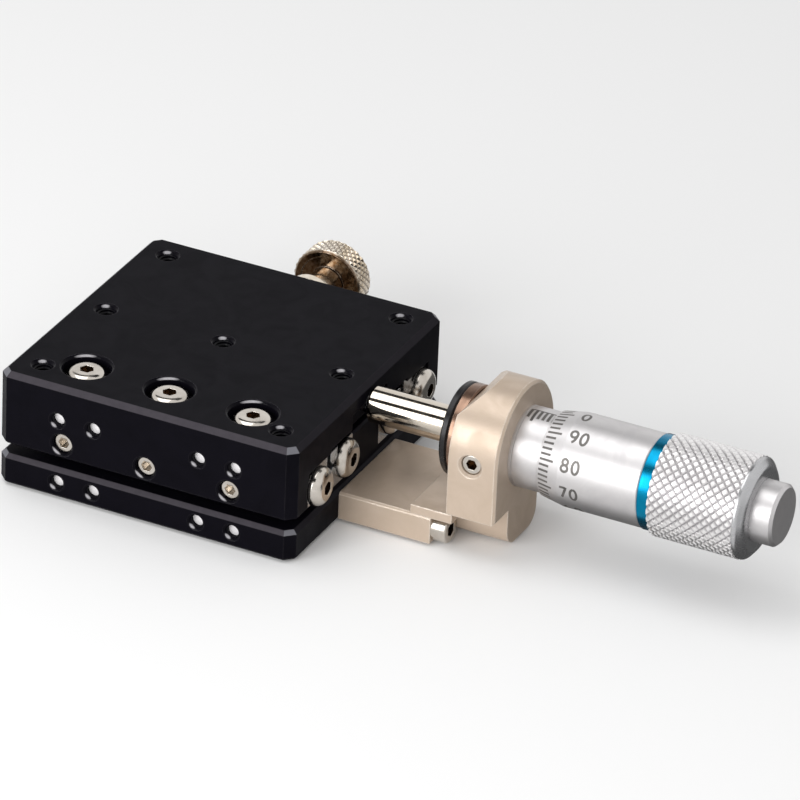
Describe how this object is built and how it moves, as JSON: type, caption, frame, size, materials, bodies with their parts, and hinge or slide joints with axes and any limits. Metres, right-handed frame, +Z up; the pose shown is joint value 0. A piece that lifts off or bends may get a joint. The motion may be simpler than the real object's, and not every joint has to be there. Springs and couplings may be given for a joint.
{
  "type": "linear stage",
  "caption": "Square linear translation stage with crossed roller rails, spring return, a micrometer head on a side bracket and a knurled clamp knob on the rear side",
  "frame": {"origin": "centre of the base's bottom mounting face", "axes": "+Z up, +X along the travel toward the micrometer, +Y toward the side with the clamp knob"},
  "size_m": [0.1493, 0.08, 0.0318],
  "materials": {
    "black_anodised": "black anodised, fine matt grain",
    "rail_steel": "ground tool steel",
    "cage_brass": "plain brass",
    "bearing_steel": "hardened and ground",
    "nickel_screws": "bright nickel plate",
    "spring_steel": "drawn spring wire",
    "bracket_nickel": "satin nickel plate, warm tone",
    "satin_chrome": "satin chrome plate",
    "nut_nickel": "nickel plate, warm reflection",
    "black_steel": "black oxide",
    "polished_spindle": "ground and polished",
    "blue_anodised": "bright blue anodised",
    "knurled_chrome": "satin chrome plate over a diamond knurl",
    "knob_nickel": "nickel plated brass, knurled rim"
  },
  "bodies": {
    "base_unit": {"base_plate": "black_anodised", "inner_rail_front": "rail_steel", "inner_rail_rear": "rail_steel", "inner_rail_screws": "nickel_screws", "inner_end_screws": "nickel_screws", "bracket": "bracket_nickel", "bracket_screws": "nickel_screws", "stem_set_screw": "nickel_screws", "micrometer_stem": "satin_chrome", "scale_sleeve": "satin_chrome", "adjusting_nut": "cage_brass", "stem_nut": "nut_nickel", "stem_lock_ring": "black_steel", "base_spring_pin": "bearing_steel", "return_spring": "spring_steel", "clamp_plate": "bracket_nickel", "clamp_plate_screws": "nickel_screws"},
    "table_unit": {"table_plate": "black_anodised", "outer_rail_front": "rail_steel", "outer_rail_rear": "rail_steel", "top_screws": "nickel_screws", "rear_rail_screws": "nickel_screws", "preload_screws": "nickel_screws", "outer_end_screws": "nickel_screws", "end_washers": "nickel_screws", "anvil": "bearing_steel", "table_spring_pin": "bearing_steel"},
    "front_cage_unit": {"cage_front": "cage_brass", "rollers_front": "bearing_steel"},
    "rear_cage_unit": {"cage_rear": "cage_brass", "rollers_rear": "bearing_steel"},
    "thimble_unit": {"spindle": "polished_spindle", "thimble": "satin_chrome", "thimble_ring": "blue_anodised", "thimble_grip": "knurled_chrome", "thimble_cap": "satin_chrome"},
    "clamp_knob_unit": {"clamp_knob": "knob_nickel"}
  },
  "joints": [
    {"name": "table_slide", "type": "slide", "parent": "base_unit", "child": "table_unit", "axis": [1, 0, 0], "range_m": [-0.006, 0.006], "deforming": ["return_spring"]},
    {"name": "front_cage_slide", "type": "slide", "parent": "base_unit", "child": "front_cage_unit", "axis": [1, 0, 0], "range_m": [-0.00315, 0.00315]},
    {"name": "rear_cage_slide", "type": "slide", "parent": "base_unit", "child": "rear_cage_unit", "axis": [1, 0, 0], "range_m": [-0.00315, 0.00315]},
    {"name": "thimble_turn", "type": "hinge", "parent": "table_unit", "child": "thimble_unit", "pos_m": [0.03175, 0, 0.01925], "axis": [1, 0, 0], "range_deg": [-2165, 2165]},
    {"name": "clamp_turn", "type": "hinge", "parent": "table_unit", "child": "clamp_knob_unit", "pos_m": [0, 0.03515, 0.01565], "axis": [0, 1, 0], "range_deg": [-50, 180]}
  ],
  "couplings": [
    {"joint": "thimble_turn", "follows": "table_slide", "rad_per_m": 6283.2},
    {"joint": "front_cage_slide", "follows": "table_slide", "ratio": 0.5},
    {"joint": "rear_cage_slide", "follows": "table_slide", "ratio": 0.5}
  ]
}
